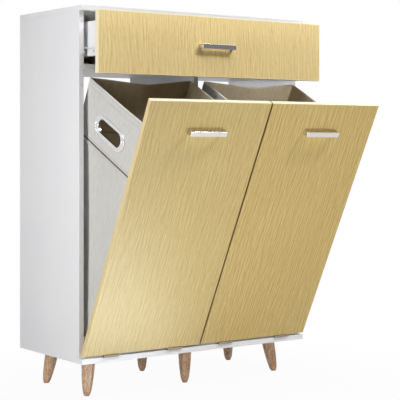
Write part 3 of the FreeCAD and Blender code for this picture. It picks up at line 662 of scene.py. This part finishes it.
# Studio floor: size and drop, share of plain white near the object, and the range over which it grows full
FLOOR_SIZE = 12.0
FLOOR_DROP = 0.0005
SHADOW_CLEAN = 0.96
SHADOW_RANGE = (0.35, 0.8)

# Surroundings: their light on plain surfaces, what mirrors see of them, and the directions' ranges
AMBIENT = 0.02
MIRROR_LOW = 0.25
MIRROR_BACK = 0.85
ABOVE_RANGE = (0.15, 0.6)
BEHIND_RANGE = (0.3, 0.6)


def floor_look():
    """White to the camera and to mirrors, with a little of the object's shadow; plain to the rest."""
    s = Shader("floor_look")
    path = s.add("ShaderNodeLightPath").outputs
    place = s.coords()
    shade = s.noise(place, scale=3.0, detail=2.0)
    s.set(Base_Color=s.ramp(shade, FLOOR_TONES), Roughness=0.9)
    away = s.add("ShaderNodeVectorMath", {0: place}, operation="LENGTH").outputs["Value"]
    clean = s.remap(away, *SHADOW_RANGE, SHADOW_CLEAN, 1.0)
    glow = s.add("ShaderNodeEmission", {"Color": (1, 1, 1, 1), "Strength": 1.0})
    seen = s.maths("MULTIPLY", path["Is Camera Ray"], clean)
    bare = s.maths("MAXIMUM", path["Is Glossy Ray"], path["Is Transmission Ray"])
    mixed = s.add("ShaderNodeMixShader", {0: s.maths("MAXIMUM", seen, bare), 1: s.bsdf.outputs[0],
                                          2: glow.outputs[0]})
    s.put(s.tree.nodes["Material Output"].inputs["Surface"], mixed.outputs[0])
    return s.material


def studio_world():
    """White to the camera; to mirrors white above, pale behind and grey in front; dim to the rest."""
    world = bpy.data.worlds.new("studio")
    world.use_nodes = True
    w = NodeTree(world.node_tree)
    path = w.add("ShaderNodeLightPath").outputs
    way = w.add("ShaderNodeTexCoord").outputs["Generated"]
    parts = w.add("ShaderNodeSeparateXYZ", {0: way}).outputs
    above = w.remap(parts["Z"], *ABOVE_RANGE, MIRROR_LOW, 1.0)
    behind = w.remap(parts["Y"], *BEHIND_RANGE, MIRROR_LOW, MIRROR_BACK)
    dim = w.blend(path["Is Glossy Ray"], AMBIENT, w.maths("MAXIMUM", above, behind))
    clear = w.maths("MAXIMUM", path["Is Camera Ray"], path["Is Transmission Ray"])
    background = w.tree.nodes["Background"]
    w.put(background.inputs["Color"], (1, 1, 1, 1))
    w.put(background.inputs["Strength"], w.blend(clear, dim, 1.0))
    return world


bpy.ops.mesh.primitive_plane_add(size=FLOOR_SIZE, location=(0, 0, -FLOOR_DROP))
floor = bpy.context.object
floor.name = "studio_floor"
floor.data.materials.append(floor_look())
bpy.context.scene.world = studio_world()


def soft_light(name, place, target, size, watts):
    data = bpy.data.lights.new(name, "AREA")
    data.shape = "RECTANGLE"
    data.size, data.size_y = size
    data.energy = watts
    made = bpy.data.objects.new(name, data)
    bpy.context.scene.collection.objects.link(made)
    made.location = place
    made.rotation_euler = (Vector(target) - Vector(place)).to_track_quat("-Z", "Y").to_euler()
    made.visible_camera = False
    return made


def only_on(lamp, *names):
    """Keep a lamp's light to the named pieces."""
    lit = bpy.data.collections.new(lamp.name + "_lit")
    for name in names:
        lit.objects.link(nodes[name] if name in nodes else bpy.data.objects[name])
    lamp.light_linking.receiver_collection = lit


# Lamps that light everything
soft_light("left_key", place=(-1.35, -0.28, 0.62), target=(-0.32, 0.0, 0.50), size=(0.3, 1.5), watts=12.8)
soft_light("overhead", place=(-0.1, -1.1, 2.9), target=(-0.1, -0.9, 0.0), size=(1.6, 1.2), watts=38.0)
soft_light("front_right", place=(1.0, -1.55, 2.3), target=(0.0, -0.07, 0.78), size=(0.5, 0.5), watts=39.0)
soft_light("rear_fill", place=(2.3, 1.1, 1.4), target=(0.0, 0.1, 0.45), size=(1.2, 1.2), watts=25.0)
soft_light("back_fill", place=(0.0, 2.6, 1.5), target=(0.0, 0.28, 0.55), size=(0.3, 0.5), watts=17.0)
soft_light("floor_front", place=(0.05, -1.0, 0.03), target=(0.0, -0.12, 0.40), size=(0.8, 0.2), watts=4.0)

# Sheen of the pale floor on the doors, and two small lamps for the inside of the right bay
gloss_card = soft_light("gloss_card", place=(-0.25, -0.28, 0.002), target=(-0.25, -0.28, 1.0),
                        size=(0.5, 0.4), watts=7.8)
gloss_card.data.color = (0.79, 0.90, 1.0)
gloss_card.visible_diffuse = False
only_on(gloss_card, "left_door_panel", "right_door_panel", "bottom_panel", "leg_front_left")
bag_fill = soft_light("bag_fill", place=(0.29, -0.50, 0.78), target=(0.20, -0.19, 0.70),
                      size=(0.06, 0.06), watts=1.9)
only_on(bag_fill, "right_linen_hamper")
bay_fill = soft_light("bay_fill", place=(-0.30, -0.90, 0.69), target=(0.31, -0.05, 0.72),
                      size=(0.12, 0.05), watts=10.0)
only_on(bay_fill, "right_side_panel")

# Camera found from the photograph's straight edges
CAMERA_PLACE = (-1.7325, -2.4241, 0.5772)
CAMERA_HEADING = math.radians(-35.69)
LEVEL_VIEW = math.radians(90)
eye = bpy.data.cameras.new("camera")
eye.sensor_width = 36.0
eye.lens = 113.04
eye.shift_y = -0.1443
eye.clip_start = 0.1
eye.clip_end = 60.0
camera = bpy.data.objects.new("camera", eye)
bpy.context.scene.collection.objects.link(camera)
camera.location = CAMERA_PLACE
camera.rotation_euler = (LEVEL_VIEW, 0.0, CAMERA_HEADING)
bpy.context.scene.camera = camera
bpy.context.scene.view_settings.view_transform = "Standard"
